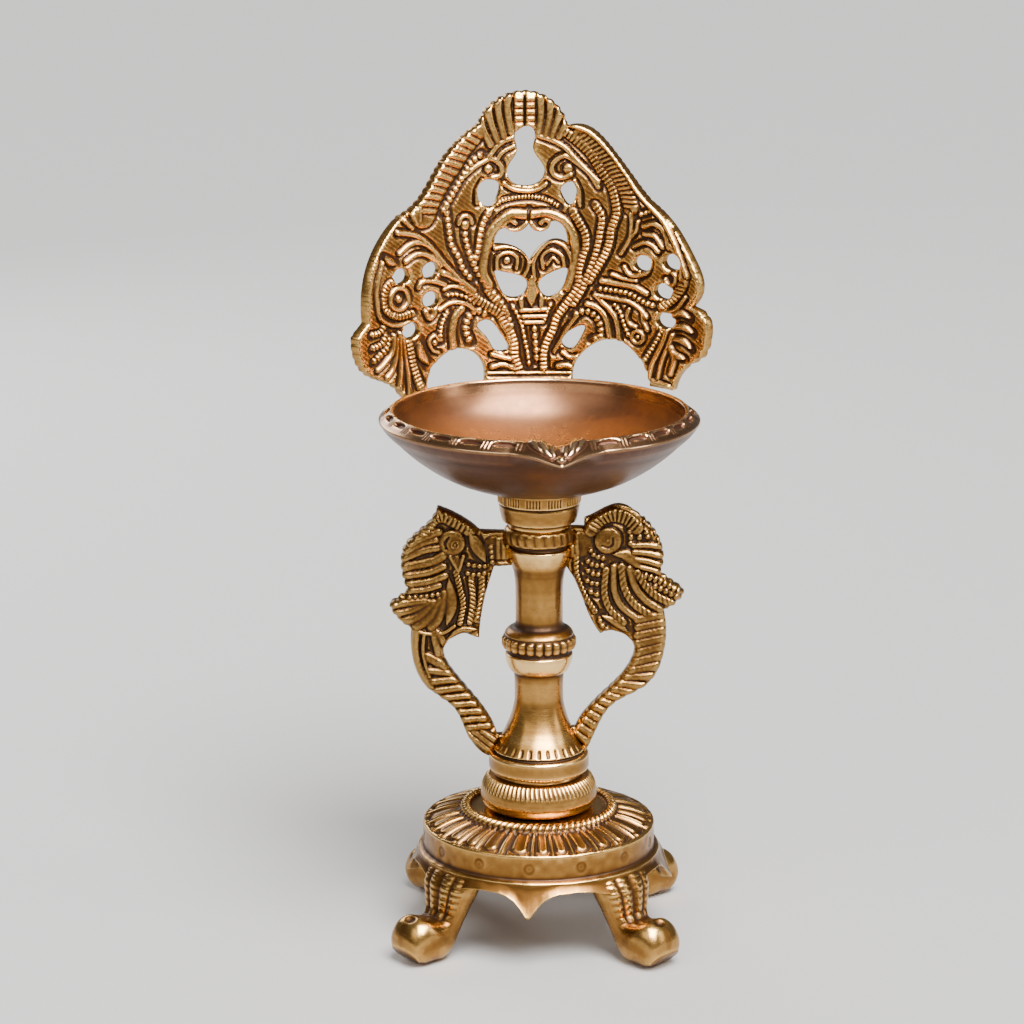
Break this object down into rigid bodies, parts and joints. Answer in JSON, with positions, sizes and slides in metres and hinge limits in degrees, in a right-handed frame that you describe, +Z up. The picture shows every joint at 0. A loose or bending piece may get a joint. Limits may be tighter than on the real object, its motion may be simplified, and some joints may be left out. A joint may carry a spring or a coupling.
{
  "type": "standing oil lamp",
  "caption": "Brass standing oil lamp with a pierced curved back plate behind a spouted oil bowl, a baluster stem with peacock side brackets and a round base on curled legs.",
  "frame": {"origin": "on the floor, under the lamp's own axis", "axes": "+Z up along the stem; the front of the lamp faces -Y, with the back plate on the +Y side"},
  "size_m": [0.1018, 0.1068, 0.2304],
  "materials": {
    "cast_brass": "antique, dark in the recesses and rubbed bright on the high spots",
    "turned_brass": "turned, satin with fine tool marks",
    "polished_brass": "polished inside, brushed below",
    "fastener_brass": "plain machined"
  },
  "bodies": {
    "base": {"base_casting": "cast_brass"},
    "stem": {"stem": "turned_brass", "knurled_spacer": "turned_brass", "left_peacock_bracket": "cast_brass", "right_peacock_bracket": "cast_brass", "tie_rod": "fastener_brass"},
    "base_washer": {"base_washer": "fastener_brass"},
    "base_nut": {"base_nut": "fastener_brass"},
    "bowl_stud": {"bowl_stud": "fastener_brass"},
    "bowl": {"bowl": "polished_brass", "bowl_socket": "turned_brass", "back_plate": "cast_brass", "plate_screw": "fastener_brass"},
    "plate_washer": {"plate_washer": "fastener_brass"},
    "plate_nut": {"plate_nut": "fastener_brass"}
  },
  "joints": [
    {"name": "stem_turn", "type": "hinge", "parent": "base", "child": "stem", "pos_m": [0, 0, 0.0354], "axis": [0, 0, 1], "continuous": true},
    {"name": "base_washer_slide", "type": "slide", "parent": "stem", "child": "base_washer", "axis": [0, 0, -1], "range_m": [0, 0.006]},
    {"name": "base_nut_turn", "type": "hinge", "parent": "base_washer", "child": "base_nut", "pos_m": [0, 0, 0.0267], "axis": [0, 0, -1], "range_deg": [0, 2164]},
    {"name": "bowl_lift", "type": "slide", "parent": "stem", "child": "bowl_stud", "axis": [0, 0, 1], "range_m": [0, 0.01001]},
    {"name": "bowl_turn", "type": "hinge", "parent": "bowl_stud", "child": "bowl", "pos_m": [0, 0, 0.1165], "axis": [0, 0, 1], "range_deg": [0, 2880]},
    {"name": "plate_washer_slide", "type": "slide", "parent": "bowl", "child": "plate_washer", "axis": [-0.0785, 0.9969, 0], "range_m": [0, 0.003]},
    {"name": "plate_nut_turn", "type": "hinge", "parent": "plate_washer", "child": "plate_nut", "pos_m": [0, 0, 0.1385], "axis": [-0.0785, 0.9969, 0], "range_deg": [0, 2164]}
  ],
  "couplings": [
    {"joint": "base_nut_turn", "follows": "base_washer_slide", "rad_per_m": 6283.2},
    {"joint": "bowl_lift", "follows": "bowl_turn", "m_per_rad": 0.00019894},
    {"joint": "plate_nut_turn", "follows": "plate_washer_slide", "rad_per_m": 12566}
  ]
}
